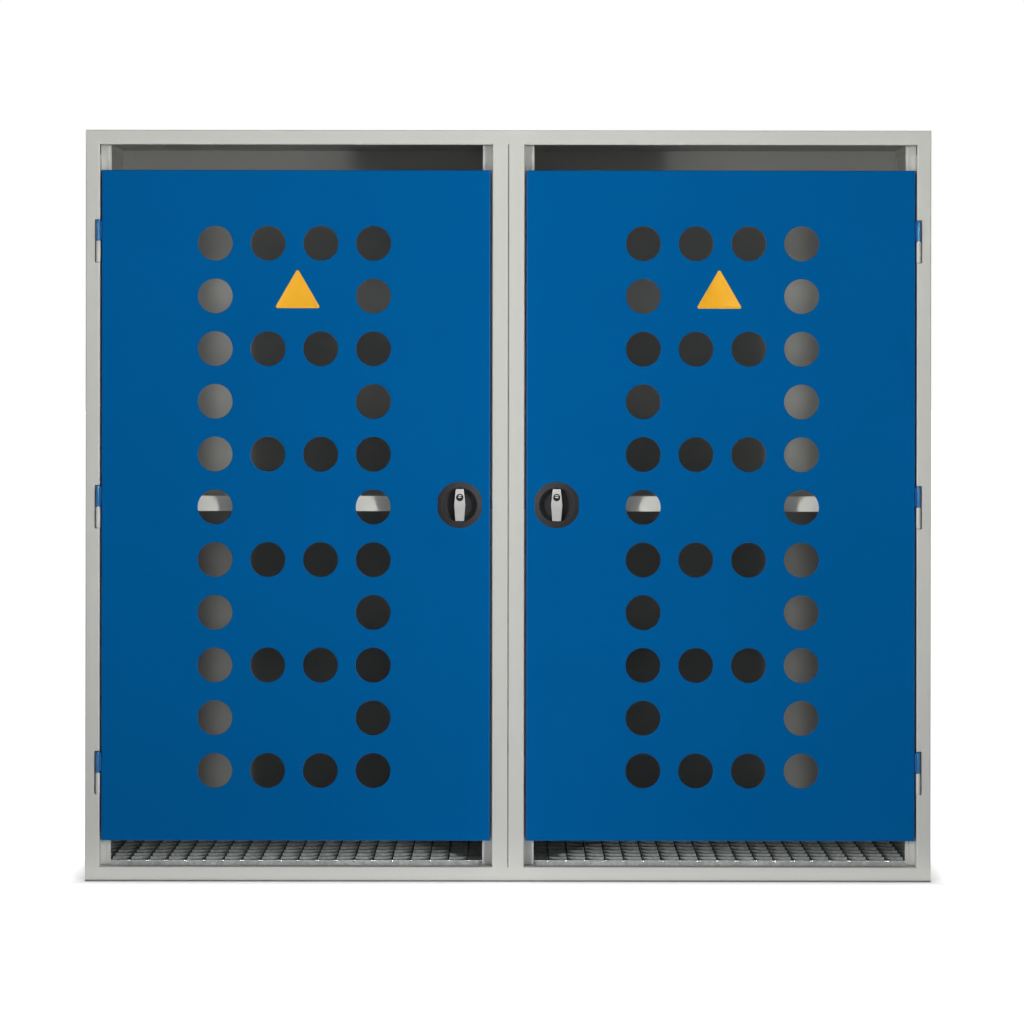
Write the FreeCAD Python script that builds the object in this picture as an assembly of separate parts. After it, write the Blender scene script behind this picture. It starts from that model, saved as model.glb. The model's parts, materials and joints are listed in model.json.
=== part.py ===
import FreeCAD, Part
import math
import os

# Gas cylinder cabinet: a folded steel carcass in two compartments, each with a perforated door on
# three lift-off hinges, a recessed swivel handle, a mid shelf and a grating floor.
# Millimetres. +Z is up, the doors face -Y, and X = 0 is the seam between the two centre posts.

os.makedirs("parts", exist_ok=True)
Vec = FreeCAD.Vector

# Carcass
WIDTH = 1604.0
DEPTH = 500.0
HEIGHT = 1425.0
SHEET = 1.5
BEND_RADIUS = 1.0          # inside radius of the folds along the front edges
RAIL_FACE = 27.5           # height of the front face of the top and bottom rails
UPRIGHT_FACE = 27.0        # width of the front face of an outer upright
POST_FACE = 30.0           # width of the front face of a centre post
SEAM = 1.0                 # gap between the two centre posts, filled by the centre wall further back
FRAME_DEPTH = 40.0         # how far the front frame reaches back
STOP_DEPTH = 26.5          # front of the door stops, behind the frame's front face
HINGE_STOP = 17.5          # reach of the stop beside the hinges
HINGE_STOP_STEP = 10.0     # first part of that reach, before the stop steps back
STOP_STEP_BACK = 6.0
LOCK_STOP = 18.5           # reach of the stop beside the locks
TOP_LIP = 15.0             # lip under the top rail
BOTTOM_LIP = 18.0          # lip on the bottom rail
TOP_FLANGE = 30.0          # top rail's flange, level with the roof
RELIEF_HEIGHT = 19.0       # slot at the upper end of an upright, where its fold was relieved
CORNER_LEG = 25.0          # rear corner angles
ROOF_FLANGE = 15.0

# Base and floor grating
LEDGE_HEIGHT = 12.0
LEDGE_WIDTH = 25.0
LEDGE_THICK = 2.0
CENTRE_RAIL_HALF = 30.0
RAIL_UPSTAND_DEPTH = 45.0  # back of the bottom rail, where its upstand carries the grating
GRATING_HEIGHT = 22.0
GRATING_FRONT = 36.0
GRATING_BACK = 494.0
GRATING_INNER = 5.0
GRATING_OUTER = 797.0
GRATING_BAR = 2.0
CROSS_BAR_HEIGHT = 10.0
BEARING_SPACES = 22
CROSS_SPACES = 12

# Shelf
SHELF_TOP = 729.0
SHELF_FRONT = 42.0
SHELF_BACK = 492.0
SHELF_FRONT_FLANGE = 29.0
SHELF_BACK_FLANGE = 20.0
SHELF_INNER = 3.0
SHELF_OUTER = 798.0
BRACKET_LEG = 25.0
BRACKET_FRONT = 60.0
BRACKET_BACK = 470.0

# Doors
DOOR_HINGE_GAP = 3.0
DOOR_LOCK_GAP = 3.4
DOOR_BOTTOM = 77.0
DOOR_TOP = 1349.0
DOOR_THICK = 25.0
DOOR_LIP = 12.0
DOOR_EDGE_RADIUS = 3.0
HOLE_RADIUS = 33.0
HOLE_SIDES = 16            # a hole is drawn as a ring of short flats
HOLE_PITCH = 100.0
HOLE_ROWS = 11
HOLE_COLUMNS = 4
HOLE_FIRST_X = 256.0
HOLE_FIRST_Z = 210.0

# Hinges
HINGE_X = 777.8
HINGE_PROUD = 2.0          # hinge axis in front of the frame's face
HINGE_JOINTS = {"bottom": 206.0, "middle": 710.0, "top": 1214.0}
KNUCKLE_LENGTH = 40.0
KNUCKLE_RADIUS = 4.25
KNUCKLE_GAP = 0.4
KNUCKLE_SIDES = 12
PIN_RADIUS = 2.5
PIN_CLEARANCE = 0.05
PIN_REACH = 35.0
PIN_ROOT = 4.0             # side of the square root that keys the pin in the lower knuckle
LEAF_THICK = 2.5
LEAF_DEPTH = 20.0
LEAF_INSET = 2.0           # leaf is shorter than its knuckle at both ends
NOTCH_HEIGHT = 82.0
NOTCH_WIDTH = 9.0
NOTCH_DEPTH = 7.0

# Swivel handle
LOCK_X = 92.0
LOCK_Z = 714.0
DISH_RADIUS = 44.0
DISH_SIDES = 24
DISH_FLAT = 42.0
DISH_PROUD = 3.0
DISH_BODY_RADIUS = 34.0
DISH_WALL_DEPTH = 6.0
DISH_FLOOR = 16.0
DISH_BACK = 22.0
RECESS_RADIUS = 32.6
RECESS_FLOOR_RADIUS = 25.0
LOCK_HOLE_CLEARANCE = 1.0
CLAMP_HALF_WIDTH = 12.0
CLAMP_LEG = 37.0
CLAMP_FOOT = 52.0
CLAMP_HOLE_HALF = 7.0
LEVER_PROUD = 6.5
LEVER_BACK = 4.0
LEVER_HALF_LENGTH = 30.5
LEVER_MID_HALF = 10.8
LEVER_TOP_HALF = 7.7
LEVER_BOTTOM_HALF = 8.3
LEVER_EDGE = 1.2
SPINDLE_RADIUS = 6.0
SPINDLE_SQUARE = 8.0
SPINDLE_SOCKET = 4.0       # how far the spindle's square end goes into the lever
RUNNING_CLEARANCE = 0.05
KEY_RISE = 14.3
KEY_RADIUS = 6.5
KEY_FRONT = -6.2
KEY_BACK = 2.5
KEY_SLOT_LENGTH = 8.0
KEY_SLOT_WIDTH = 1.6
KEY_SLOT_DEPTH = 5.0
CAM_FRONT = 28.5
CAM_THICK = 3.0
CAM_HALF_WIDTH = 9.0
CAM_HEAD = 11.0
CAM_REACH = 55.0
CAM_CORNER = 5.0
STRIKE_THICK = 2.0
STRIKE_HEIGHT = 16.0
STRIKE_FRONT = 10.0
STRIKE_BACK = 21.0

# Worked out from the above
FRONT_Y = -(DEPTH - LEVER_PROUD) / 2
SIDE_X = WIDTH / 2
SIDE_INNER = SIDE_X - SHEET
UPRIGHT_EDGE = SIDE_X - UPRIGHT_FACE
POST_EDGE = SEAM / 2 + POST_FACE
DOOR_INNER = POST_EDGE + DOOR_LOCK_GAP
DOOR_OUTER = UPRIGHT_EDGE - DOOR_HINGE_GAP
OPENING_TOP = HEIGHT - RAIL_FACE
MID = SHEET / 2
PAST = 1.0                 # how far a cutting block runs past the face it opens


def block(x_low, x_high, front, back, z_low, z_high):
    """Box between two X places, two depths behind the frame's front face and two heights."""
    corner = Vec(x_low, FRONT_Y + front, z_low)
    return Part.makeBox(x_high - x_low, back - front, z_high - z_low, corner)


def post(x, front, radius, z_low, z_high):
    """Upright cylinder."""
    return Part.makeCylinder(radius, z_high - z_low, Vec(x, FRONT_Y + front, z_low))


def polygon(centre, across, up, radius, sides):
    """Closed outline of a regular polygon that stands in for a circle."""
    corners = []
    for i in range(sides + 1):
        angle = 2 * math.pi * i / sides
        corners.append(centre + across * (radius * math.cos(angle)) + up * (radius * math.sin(angle)))
    return Part.makePolygon(corners)


def many_sided(centre, across, up, radius, sides, run):
    """Prism on such a polygon."""
    return Part.Face(polygon(centre, across, up, radius, sides)).extrude(run)


def disc(x, z, radius, front, back):
    """Cylinder that runs from front to back."""
    return Part.makeCylinder(radius, back - front, Vec(x, FRONT_Y + front, z), Vec(0, 1, 0))


def fold_side(path, bends, offset):
    """Edges of one side of a folded strip: straight runs, with an arc at each fold that has a radius."""
    edges = []
    heading = [(b - a).normalize() for a, b in zip(path, path[1:])]
    normal = [Vec(-h.y, h.x, 0) for h in heading]
    last = path[0] + normal[0] * offset
    for i in range(1, len(path) - 1):
        before, after = normal[i - 1], normal[i]
        if bends[i] == 0:
            corner = path[i] + (before + after) * (offset / (1 + before.dot(after)))
            edges.append(Part.LineSegment(last, corner).toShape())
            last = corner
            continue
        bend = bends[i] + MID
        side = math.copysign(1, heading[i - 1].cross(heading[i]).z)
        reach = bend * math.tan(heading[i - 1].getAngle(heading[i]) / 2)
        begin = path[i] - heading[i - 1] * reach
        centre = begin + before * (side * bend)
        crown = centre + (path[i] - centre).normalize() * (bend - side * offset)
        arc_from = begin + before * offset
        arc_to = path[i] + heading[i] * reach + after * offset
        edges.append(Part.LineSegment(last, arc_from).toShape())
        edges.append(Part.Arc(arc_from, crown, arc_to).toShape())
        last = arc_to
    edges.append(Part.LineSegment(last, path[-1] + normal[-1] * offset).toShape())
    return edges


def folded(points, length):
    """Sheet folded along a mid-line in the XY plane and extruded upward. A third value is a fold's radius."""
    path = [Vec(point[0], point[1], 0) for point in points]
    bends = [point[2] if len(point) == 3 else 0 for point in points]
    left = fold_side(path, bends, MID)
    right = fold_side(path, bends, -MID)
    caps = []
    for end in (0, -1):
        corners = [side[end].Vertexes[end].Point for side in (left, right)]
        caps.append(Part.LineSegment(*corners).toShape())
    outline = Part.Wire(Part.__sortEdges__(left + right + caps))
    return Part.Face(outline).extrude(Vec(0, 0, length))


def folded_post(points, z_low, z_high):
    """Folded sheet that stands upright, from a path of X places and depths."""
    strip = folded(points, z_high - z_low)
    strip.translate(Vec(0, FRONT_Y, z_low))
    return strip


def folded_beam(points, x_low, x_high):
    """Folded sheet that runs across, from a path of depths and heights."""
    strip = folded(points, x_high - x_low)
    turn = FreeCAD.Rotation(Vec(0, 1, 0), Vec(0, 0, 1), Vec(1, 0, 0), "XYZ")
    strip.Placement = FreeCAD.Placement(Vec(x_low, FRONT_Y, 0), turn)
    return strip


def folded_tray(points, front, back):
    """Folded sheet that runs front to back, from a path of X places and heights."""
    strip = folded(points, back - front)
    turn = FreeCAD.Rotation(Vec(1, 0, 0), Vec(0, 0, 1), Vec(0, -1, 0), "XYZ")
    strip.Placement = FreeCAD.Placement(Vec(0, FRONT_Y + back, 0), turn)
    return strip


def export(name, shape):
    """Writes one node."""
    shape.exportStep("parts/" + name + ".step")


def export_pair(name, right_shape):
    """Writes the right-hand node and its mirror image on the left."""
    export("right_" + name, right_shape)
    export("left_" + name, right_shape.mirror(Vec(0, 0, 0), Vec(1, 0, 0)))


def upright():
    """Outer front upright: stepped door stop, return, face and side folded from one strip."""
    stop = STOP_DEPTH + MID
    step = UPRIGHT_EDGE - HINGE_STOP_STEP
    path = [
        (UPRIGHT_EDGE - HINGE_STOP, stop + STOP_STEP_BACK),
        (step - STOP_STEP_BACK / 4, stop + STOP_STEP_BACK),
        (step + STOP_STEP_BACK / 4, stop),
        (UPRIGHT_EDGE + MID, stop),
        (UPRIGHT_EDGE + MID, MID, BEND_RADIUS),
        (SIDE_X - MID, MID, BEND_RADIUS),
        (SIDE_X - MID, FRAME_DEPTH),
    ]
    strip = folded_post(path, RAIL_FACE, OPENING_TOP)
    return_inner = UPRIGHT_EDGE + SHEET
    openings = [block(UPRIGHT_EDGE - PAST, return_inner, SHEET + BEND_RADIUS, STOP_DEPTH - BEND_RADIUS,
                      OPENING_TOP - RELIEF_HEIGHT, OPENING_TOP)]
    for joint in HINGE_JOINTS.values():
        openings.append(block(UPRIGHT_EDGE - PAST, UPRIGHT_EDGE + NOTCH_WIDTH, -PAST, NOTCH_DEPTH,
                              joint - NOTCH_HEIGHT / 2, joint + NOTCH_HEIGHT / 2))
    return strip.cut(openings)


def centre_post():
    """Centre post: seam side, face, return and door stop folded from one strip."""
    stop = STOP_DEPTH + MID
    path = [
        (SEAM / 2 + MID, FRAME_DEPTH),
        (SEAM / 2 + MID, MID, BEND_RADIUS),
        (POST_EDGE - MID, MID, BEND_RADIUS),
        (POST_EDGE - MID, stop),
        (POST_EDGE + LOCK_STOP, stop),
    ]
    return folded_post(path, RAIL_FACE, OPENING_TOP)


def end_plates(z_low, z_high, back):
    """Closed ends of a front rail."""
    right = block(SIDE_INNER, SIDE_X, 0, back, z_low, z_high)
    return [right, right.mirror(Vec(0, 0, 0), Vec(1, 0, 0))]


def top_rail():
    """Front rail over both doors, level with the roof."""
    path = [
        (TOP_LIP, OPENING_TOP + MID),
        (MID, OPENING_TOP + MID, BEND_RADIUS),
        (MID, HEIGHT - MID, BEND_RADIUS),
        (TOP_FLANGE, HEIGHT - MID),
    ]
    channel = folded_beam(path, -SIDE_INNER, SIDE_INNER)
    return channel.fuse(end_plates(OPENING_TOP, HEIGHT, FRAME_DEPTH))


def bottom_rail():
    """Front rail under both doors, with an upstand that carries the front of the grating."""
    path = [
        (BOTTOM_LIP, RAIL_FACE - MID),
        (MID, RAIL_FACE - MID, BEND_RADIUS),
        (MID, MID, BEND_RADIUS),
        (RAIL_UPSTAND_DEPTH - MID, MID),
        (RAIL_UPSTAND_DEPTH - MID, LEDGE_HEIGHT),
    ]
    channel = folded_beam(path, -SIDE_INNER, SIDE_INNER)
    return channel.fuse(end_plates(0, RAIL_FACE, FRAME_DEPTH))


def roof():
    """Roof sheet with turned-down side flanges, cut short for the rear corner angles."""
    flange_foot = HEIGHT - ROOF_FLANGE
    path = [
        (-SIDE_INNER + MID, flange_foot),
        (-SIDE_INNER + MID, HEIGHT - MID),
        (SIDE_INNER - MID, HEIGHT - MID),
        (SIDE_INNER - MID, flange_foot),
    ]
    tray = folded_tray(path, TOP_FLANGE, DEPTH)
    corner_front = DEPTH - SHEET - CORNER_LEG
    relief = block(SIDE_INNER - 2 * SHEET, SIDE_X, corner_front, DEPTH + PAST,
                   flange_foot - PAST, HEIGHT - SHEET)
    return tray.cut([relief, relief.mirror(Vec(0, 0, 0), Vec(1, 0, 0))])


def rear_corner():
    """Angle that joins a side panel to the back panel."""
    path = [
        (SIDE_INNER - MID, DEPTH - SHEET - CORNER_LEG),
        (SIDE_INNER - MID, DEPTH - SHEET - MID),
        (SIDE_INNER - CORNER_LEG, DEPTH - SHEET - MID),
    ]
    return folded_post(path, LEDGE_HEIGHT, HEIGHT - SHEET)


def side_base_rail():
    """Angle along the foot of a side panel: its ledge carries the grating."""
    leg = block(SIDE_INNER - LEDGE_THICK, SIDE_INNER, RAIL_UPSTAND_DEPTH, DEPTH - SHEET, 0, LEDGE_HEIGHT)
    ledge = block(SIDE_INNER - LEDGE_WIDTH, SIDE_INNER, RAIL_UPSTAND_DEPTH, DEPTH - SHEET,
                  LEDGE_HEIGHT - LEDGE_THICK, LEDGE_HEIGHT)
    return leg.fuse(ledge).removeSplitter()


def rear_base_rail():
    """Angle along the foot of the back panel, between the two side rails."""
    reach = SIDE_INNER - LEDGE_WIDTH
    back = DEPTH - SHEET
    leg = block(-reach, reach, back - LEDGE_THICK, back, 0, LEDGE_HEIGHT)
    ledge = block(-reach, reach, back - LEDGE_WIDTH, back, LEDGE_HEIGHT - LEDGE_THICK, LEDGE_HEIGHT)
    return leg.fuse(ledge).removeSplitter()


def centre_base_rail():
    """Inverted channel under the centre wall: it carries the inner edges of both gratings."""
    back = DEPTH - SHEET - LEDGE_WIDTH
    outer = block(-CENTRE_RAIL_HALF, CENTRE_RAIL_HALF, RAIL_UPSTAND_DEPTH, back, 0, LEDGE_HEIGHT)
    hollow_half = CENTRE_RAIL_HALF - LEDGE_THICK
    hollow = block(-hollow_half, hollow_half, RAIL_UPSTAND_DEPTH - PAST, back + PAST,
                   -PAST, LEDGE_HEIGHT - LEDGE_THICK)
    return outer.cut(hollow)


def floor_grating():
    """Grating of one compartment: bearing bars on edge, cross bars seated on them, and a band all round."""
    top = LEDGE_HEIGHT + GRATING_HEIGHT
    seat = top - CROSS_BAR_HEIGHT
    bearing_pitch = (GRATING_OUTER - GRATING_INNER - GRATING_BAR) / BEARING_SPACES
    cross_pitch = (GRATING_BACK - GRATING_FRONT - GRATING_BAR) / CROSS_SPACES
    bars = []
    for i in range(BEARING_SPACES + 1):
        x = GRATING_INNER + i * bearing_pitch
        is_band = i in (0, BEARING_SPACES)
        inset = 0 if is_band else GRATING_BAR
        bars.append(block(x, x + GRATING_BAR, GRATING_FRONT + inset, GRATING_BACK - inset,
                          LEDGE_HEIGHT, top if is_band else seat))
    for i in range(CROSS_SPACES + 1):
        front = GRATING_FRONT + i * cross_pitch
        is_band = i in (0, CROSS_SPACES)
        bars.append(block(GRATING_INNER + GRATING_BAR, GRATING_OUTER - GRATING_BAR,
                          front, front + GRATING_BAR, LEDGE_HEIGHT if is_band else seat, top))
    return Part.makeCompound(bars)


def shelf():
    """Shelf of one compartment, with turned-down front and back flanges."""
    path = [
        (SHELF_FRONT + MID, SHELF_TOP - SHELF_FRONT_FLANGE),
        (SHELF_FRONT + MID, SHELF_TOP - MID),
        (SHELF_BACK - MID, SHELF_TOP - MID),
        (SHELF_BACK - MID, SHELF_TOP - SHELF_BACK_FLANGE),
    ]
    return folded_beam(path, SHELF_INNER, SHELF_OUTER)


def shelf_brackets():
    """Angles on the side panel and the centre wall that carry one shelf."""
    seat = SHELF_TOP - SHEET
    brackets = []
    for wall, inward in ((SIDE_INNER, -1), (SEAM / 2, 1)):
        leg_x = sorted((wall, wall + inward * LEDGE_THICK))
        ledge_x = sorted((wall, wall + inward * BRACKET_LEG))
        leg = block(*leg_x, BRACKET_FRONT, BRACKET_BACK, seat - BRACKET_LEG, seat)
        ledge = block(*ledge_x, BRACKET_FRONT, BRACKET_BACK, seat - LEDGE_THICK, seat)
        brackets.append(leg.fuse(ledge).removeSplitter())
    return Part.makeCompound(brackets)


def hole_places():
    """Centres of a right-hand door's ventilation holes: full rows alternate with outer pairs."""
    places = []
    for row in range(HOLE_ROWS):
        for column in range(HOLE_COLUMNS):
            if row % 2 == 0 or column in (0, HOLE_COLUMNS - 1):
                places.append((HOLE_FIRST_X + column * HOLE_PITCH, HOLE_FIRST_Z + row * HOLE_PITCH))
    return places


def door_panel():
    """Door pan: perforated front, folded sides and a lip all round the back."""
    pan = block(DOOR_INNER, DOOR_OUTER, 0, DOOR_THICK, DOOR_BOTTOM, DOOR_TOP)
    front_edges = [e for e in pan.Edges if abs(e.CenterOfMass.y - FRONT_Y) < SHEET / 2]
    pan = pan.makeFillet(DOOR_EDGE_RADIUS, front_edges)
    hollow = block(DOOR_INNER + SHEET, DOOR_OUTER - SHEET, SHEET, DOOR_THICK - SHEET,
                   DOOR_BOTTOM + SHEET, DOOR_TOP - SHEET)
    window = block(DOOR_INNER + DOOR_LIP, DOOR_OUTER - DOOR_LIP, DOOR_THICK / 2, DOOR_THICK + PAST,
                   DOOR_BOTTOM + DOOR_LIP, DOOR_TOP - DOOR_LIP)
    cuts = [hollow, window]
    through = Vec(0, SHEET + 2 * PAST, 0)
    rings = [(LOCK_X, LOCK_Z, DISH_BODY_RADIUS + LOCK_HOLE_CLEARANCE)]
    rings += [(x, z, HOLE_RADIUS) for x, z in hole_places()]
    for x, z, radius in rings:
        centre = Vec(x, FRONT_Y - PAST, z)
        cuts.append(many_sided(centre, Vec(1, 0, 0), Vec(0, 0, 1), radius, HOLE_SIDES, through))
    return pan.cut(cuts)


def knuckle(z_low, z_high):
    """Hinge knuckle, before its bore."""
    centre = Vec(HINGE_X, FRONT_Y - HINGE_PROUD, z_low)
    run = Vec(0, 0, z_high - z_low)
    return many_sided(centre, Vec(1, 0, 0), Vec(0, 1, 0), KNUCKLE_RADIUS, KNUCKLE_SIDES, run)


def pin_root(joint):
    """Square lower half of a hinge pin."""
    half = PIN_ROOT / 2
    return block(HINGE_X - half, HINGE_X + half, -HINGE_PROUD - half, -HINGE_PROUD + half,
                 joint - PIN_REACH, joint - KNUCKLE_GAP / 2)


def frame_hinge(joint):
    """Lower half of a lift-off hinge: its leaf is welded inside the upright's return."""
    low = joint - KNUCKLE_LENGTH
    high = joint - KNUCKLE_GAP / 2
    leaf_x = UPRIGHT_EDGE + SHEET
    leaf = block(leaf_x, leaf_x + LEAF_THICK, -HINGE_PROUD, LEAF_DEPTH,
                 low + LEAF_INSET, high - LEAF_INSET)
    return knuckle(low, high).fuse(leaf).cut(pin_root(joint)).removeSplitter()


def door_hinge(joint):
    """Upper half of a lift-off hinge: its leaf is welded to the door's edge, its bore turns on the pin."""
    low = joint + KNUCKLE_GAP / 2
    high = joint + KNUCKLE_LENGTH
    leaf = block(DOOR_OUTER, DOOR_OUTER + LEAF_THICK, -HINGE_PROUD, LEAF_DEPTH,
                 low + LEAF_INSET, high - LEAF_INSET)
    bore = post(HINGE_X, -HINGE_PROUD, PIN_RADIUS + PIN_CLEARANCE, low - PAST, joint + PIN_REACH + PAST)
    return knuckle(low, high).fuse(leaf).cut(bore).removeSplitter()


def hinge_pins():
    """Pins of one door: a square root in each frame half, and a round upper half for the door to turn on."""
    pins = []
    for joint in HINGE_JOINTS.values():
        upper = post(HINGE_X, -HINGE_PROUD, PIN_RADIUS, joint - KNUCKLE_GAP / 2, joint + PIN_REACH)
        pins.append(upper.fuse(pin_root(joint)))
    return Part.makeCompound(pins)


def strike():
    """Wear plate on the centre post beside the cam."""
    return block(POST_EDGE, POST_EDGE + STRIKE_THICK, STRIKE_FRONT, STRIKE_BACK,
                 LOCK_Z - STRIKE_HEIGHT / 2, LOCK_Z + STRIKE_HEIGHT / 2)


def dish_outline(radius, depth):
    """Outline of the dish at a depth."""
    return polygon(Vec(LOCK_X, FRONT_Y + depth, LOCK_Z), Vec(1, 0, 0), Vec(0, 0, 1), radius, DISH_SIDES)


def dish_ring(radius, depth, run):
    """Prism from front to back about the handle's axis."""
    return Part.Face(dish_outline(radius, depth)).extrude(Vec(0, run, 0))


def tapered(front, back):
    """Solid with flat sides between two outlines of as many corners."""
    near = [v.Point for v in front.OrderedVertexes]
    far = [v.Point for v in back.OrderedVertexes]
    faces = [Part.Face(front), Part.Face(back)]
    for i in range(len(near)):
        corners = [near[i - 1], near[i], far[i], far[i - 1], near[i - 1]]
        faces.append(Part.Face(Part.makePolygon(corners)))
    return Part.Solid(Part.Shell(faces))


def lock_dish():
    """Round dish let into the door, with two flats on its rim and a recess that narrows to its floor."""
    rim = dish_ring(DISH_RADIUS, -DISH_PROUD, DISH_PROUD)
    dish = rim.fuse(dish_ring(DISH_BODY_RADIUS, 0, DISH_BACK))
    cuts = [dish_ring(RECESS_RADIUS, -DISH_PROUD - PAST, DISH_PROUD + PAST + DISH_WALL_DEPTH)]
    recess_floor = dish_outline(RECESS_FLOOR_RADIUS, DISH_FLOOR)
    cuts.append(tapered(dish_outline(RECESS_RADIUS, DISH_WALL_DEPTH), recess_floor))
    bore_radius = SPINDLE_RADIUS + RUNNING_CLEARANCE
    cuts.append(disc(LOCK_X, LOCK_Z, bore_radius, DISH_FLOOR - PAST, DISH_BACK + PAST))
    for side in (-1, 1):
        edge = sorted((LOCK_X + side * DISH_FLAT, LOCK_X + side * (DISH_RADIUS + PAST)))
        cuts.append(block(*edge, -DISH_PROUD - PAST, PAST, LOCK_Z - DISH_RADIUS, LOCK_Z + DISH_RADIUS))
    return dish.cut(cuts)


def lock_clamp():
    """Folded clamp behind the door: its feet bear on the sheet and its bridge holds the dish."""
    foot = SHEET + MID
    bridge = DISH_BACK + MID
    path = [
        (foot, LOCK_Z - CLAMP_FOOT),
        (foot, LOCK_Z - CLAMP_LEG),
        (bridge, LOCK_Z - CLAMP_LEG),
        (bridge, LOCK_Z + CLAMP_LEG),
        (foot, LOCK_Z + CLAMP_LEG),
        (foot, LOCK_Z + CLAMP_FOOT),
    ]
    strip = folded_beam(path, LOCK_X - CLAMP_HALF_WIDTH, LOCK_X + CLAMP_HALF_WIDTH)
    hole = block(LOCK_X - CLAMP_HOLE_HALF, LOCK_X + CLAMP_HOLE_HALF,
                 DISH_BACK - PAST, DISH_BACK + SHEET + PAST,
                 LOCK_Z - CLAMP_HOLE_HALF, LOCK_Z + CLAMP_HOLE_HALF)
    return strip.cut(hole)


def square_bar(front, back):
    """Square length of the spindle, or the socket for it."""
    half = SPINDLE_SQUARE / 2
    return block(LOCK_X - half, LOCK_X + half, front, back, LOCK_Z - half, LOCK_Z + half)


def lever():
    """Six-sided swivel lever with bevelled front edges, a key bore and a socket for the spindle."""
    outline = [
        (-LEVER_TOP_HALF, LEVER_HALF_LENGTH),
        (LEVER_TOP_HALF, LEVER_HALF_LENGTH),
        (LEVER_MID_HALF, 0),
        (LEVER_BOTTOM_HALF, -LEVER_HALF_LENGTH),
        (-LEVER_BOTTOM_HALF, -LEVER_HALF_LENGTH),
        (-LEVER_MID_HALF, 0),
    ]
    front = FRONT_Y - LEVER_PROUD
    points = [Vec(LOCK_X + x, front, LOCK_Z + z) for x, z in outline]
    bar = Part.Face(Part.makePolygon(points + points[:1])).extrude(Vec(0, LEVER_PROUD + LEVER_BACK, 0))
    front_edges = [e for e in bar.Edges if abs(e.CenterOfMass.y - front) < LEVER_EDGE / 2]
    bar = bar.makeChamfer(LEVER_EDGE, front_edges)
    key_room = disc(LOCK_X, LOCK_Z + KEY_RISE, KEY_RADIUS + RUNNING_CLEARANCE, -LEVER_PROUD - PAST, KEY_BACK)
    return bar.cut([key_room, square_bar(LEVER_BACK - SPINDLE_SOCKET, LEVER_BACK + PAST)])


def key_plug():
    """Key cylinder in the upper half of the lever, with its key slot."""
    z = LOCK_Z + KEY_RISE
    plug = disc(LOCK_X, z, KEY_RADIUS, KEY_FRONT, KEY_BACK - RUNNING_CLEARANCE)
    half_length = KEY_SLOT_LENGTH / 2
    half_width = KEY_SLOT_WIDTH / 2
    slot = block(LOCK_X - half_length, LOCK_X + half_length, KEY_FRONT - PAST, KEY_FRONT + KEY_SLOT_DEPTH,
                 z - half_width, z + half_width)
    return plug.cut(slot)


def spindle():
    """Round spindle with a square at each end, for the lever and the cam."""
    journal = disc(LOCK_X, LOCK_Z, SPINDLE_RADIUS, LEVER_BACK, CAM_FRONT)
    lever_end = square_bar(LEVER_BACK - SPINDLE_SOCKET, LEVER_BACK)
    cam_end = square_bar(CAM_FRONT, CAM_FRONT + CAM_THICK)
    return journal.fuse([lever_end, cam_end])


def cam():
    """Flat cam on the spindle's rear square, hanging clear of the post at rest."""
    outline = [
        (-CAM_HALF_WIDTH, CAM_HEAD),
        (CAM_HALF_WIDTH, CAM_HEAD),
        (CAM_HALF_WIDTH, CAM_CORNER - CAM_REACH),
        (CAM_HALF_WIDTH - CAM_CORNER, -CAM_REACH),
        (CAM_CORNER - CAM_HALF_WIDTH, -CAM_REACH),
        (-CAM_HALF_WIDTH, CAM_CORNER - CAM_REACH),
    ]
    points = [Vec(LOCK_X + x, FRONT_Y + CAM_FRONT, LOCK_Z + z) for x, z in outline]
    plate = Part.Face(Part.makePolygon(points + points[:1])).extrude(Vec(0, CAM_THICK, 0))
    return plate.cut(square_bar(CAM_FRONT - PAST, CAM_FRONT + CAM_THICK + PAST))


# Carcass
export("top_rail", top_rail())
export("bottom_rail", bottom_rail())
export("roof", roof())
export("back_panel", block(-SIDE_INNER, SIDE_INNER, DEPTH - SHEET, DEPTH, 0, HEIGHT - SHEET))
export("centre_wall", block(-SEAM / 2, SEAM / 2, TOP_FLANGE, DEPTH - SHEET, LEDGE_HEIGHT, HEIGHT - SHEET))
export("rear_base_rail", rear_base_rail())
export("centre_base_rail", centre_base_rail())
export_pair("side_panel", block(SIDE_INNER, SIDE_X, FRAME_DEPTH, DEPTH, 0, HEIGHT))
export_pair("upright", upright())
export_pair("centre_post", centre_post())
export_pair("rear_corner", rear_corner())
export_pair("side_base_rail", side_base_rail())
export_pair("floor_grating", floor_grating())
export_pair("shelf", shelf())
export_pair("shelf_brackets", shelf_brackets())
export_pair("hinge_pins", hinge_pins())
export_pair("strike", strike())

# Doors, each with its hinge halves
export_pair("door_panel", door_panel())
for place, joint_height in HINGE_JOINTS.items():
    export_pair("frame_hinge_" + place, frame_hinge(joint_height))
    export_pair("door_hinge_" + place, door_hinge(joint_height))

# Swivel handles
export_pair("lock_dish", lock_dish())
export_pair("lock_clamp", lock_clamp())
export_pair("lever", lever())
export_pair("key_plug", key_plug())
export_pair("spindle", spindle())
export_pair("cam", cam())
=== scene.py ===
import json
import math
from itertools import product

import bmesh
import bpy
from mathutils import Matrix, Vector


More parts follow.
